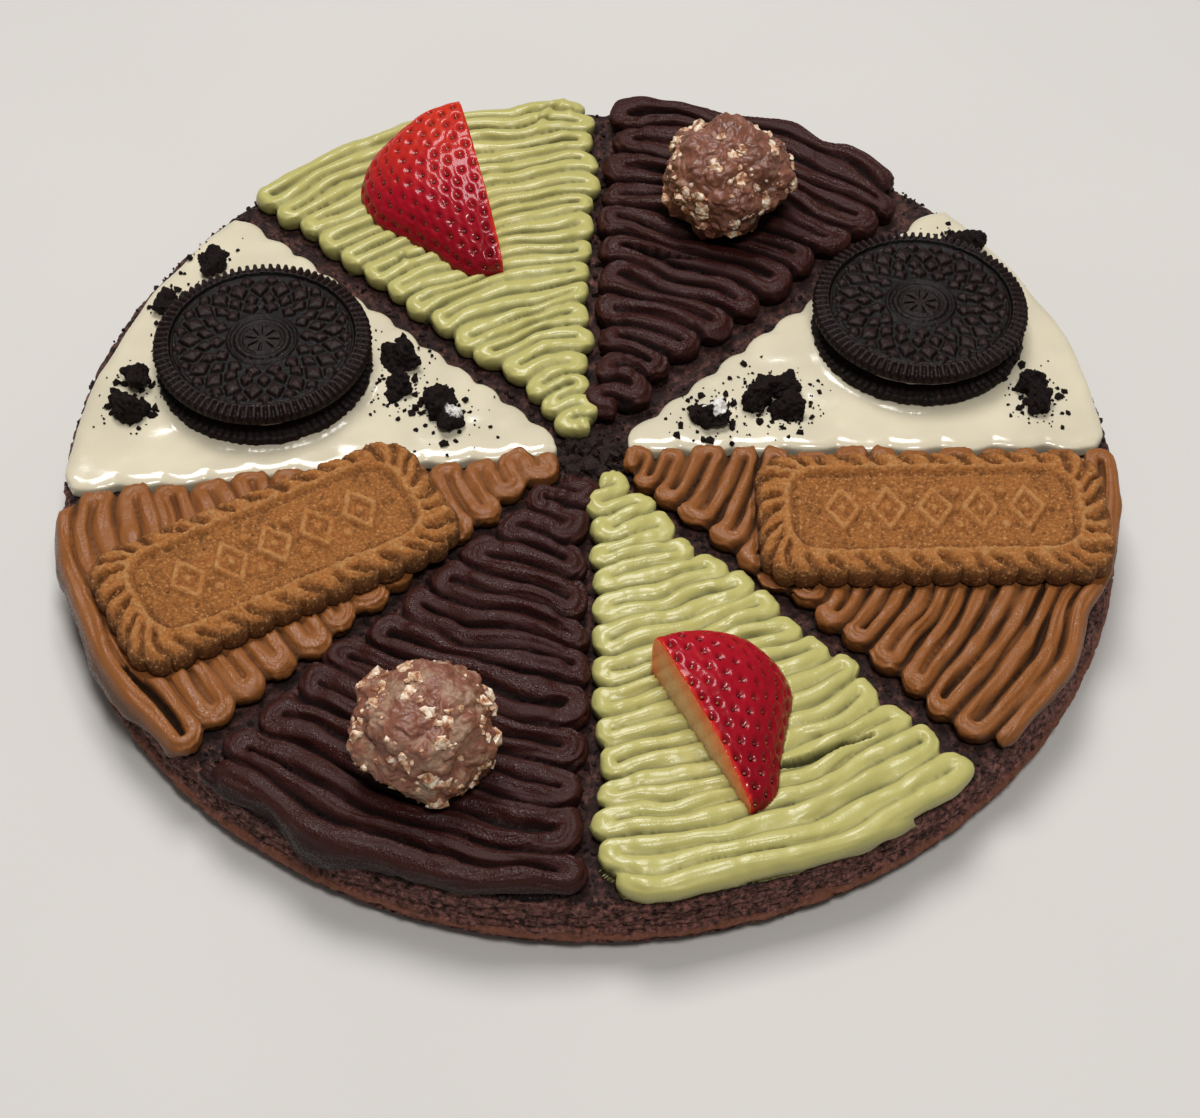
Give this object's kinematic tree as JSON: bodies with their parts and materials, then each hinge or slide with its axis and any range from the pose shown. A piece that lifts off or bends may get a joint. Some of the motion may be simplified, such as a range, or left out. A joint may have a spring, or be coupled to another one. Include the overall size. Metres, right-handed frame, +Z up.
{
  "type": "decorated brownie",
  "caption": "Round flat chocolate brownie decorated in wedges of piped cream, ganache and white glaze, topped with strawberries, pralines, biscuits and sandwich cookies.",
  "frame": {"origin": "centre of the brownie's underside", "axes": "+Z up through the brownie, +X to the right and +Y away from the viewer in the picture"},
  "size_m": [0.2138, 0.2139, 0.0431],
  "materials": {
    "brownie": "baked chocolate cake crumb, matt",
    "pistachio_cream": "piped pistachio cream, satin",
    "chocolate_ganache": "piped chocolate ganache, satin",
    "caramel_cream": "piped caramel biscuit cream, satin",
    "white_glaze": "poured white chocolate glaze, glossy",
    "strawberry": "fresh strawberry, wet gloss",
    "hazelnut_praline": "milk chocolate with chopped hazelnut",
    "cocoa_wafer": "baked black cocoa wafer, matt",
    "cookie_cream": "white cookie filling, matt",
    "caramel_biscuit": "baked caramel biscuit, matt",
    "broken_cookie": "broken black cocoa wafer, matt"
  },
  "bodies": {
    "root": {"brownie": "brownie", "pistachio_cream_back": "pistachio_cream", "pistachio_cream_front": "pistachio_cream", "chocolate_ganache_back": "chocolate_ganache", "chocolate_ganache_front": "chocolate_ganache", "caramel_cream_left": "caramel_cream", "caramel_cream_right": "caramel_cream", "white_glaze_left": "white_glaze", "white_glaze_right": "white_glaze", "strawberry_back": "strawberry", "strawberry_front": "strawberry", "hazelnut_praline_back": "hazelnut_praline", "hazelnut_praline_front": "hazelnut_praline", "cookie_left_bottom_wafer": "cocoa_wafer", "cookie_left_cream": "cookie_cream", "cookie_left_top_wafer": "cocoa_wafer", "cookie_right_bottom_wafer": "cocoa_wafer", "cookie_right_cream": "cookie_cream", "cookie_right_top_wafer": "cocoa_wafer", "caramel_biscuit_left": "caramel_biscuit", "caramel_biscuit_right": "caramel_biscuit", "cookie_piece_left_rim": "broken_cookie", "cookie_piece_left_behind": "broken_cookie", "cookie_pieces_left_outer": "broken_cookie", "cookie_piece_left_inner": "broken_cookie", "cookie_piece_left_low": "broken_cookie", "cookie_piece_left_long": "broken_cookie", "cookie_piece_right_tip": "broken_cookie", "cookie_pieces_right_inner": "broken_cookie", "cookie_pieces_right_outer": "broken_cookie", "cookie_piece_right_behind": "broken_cookie"}
  },
  "joints": []
}
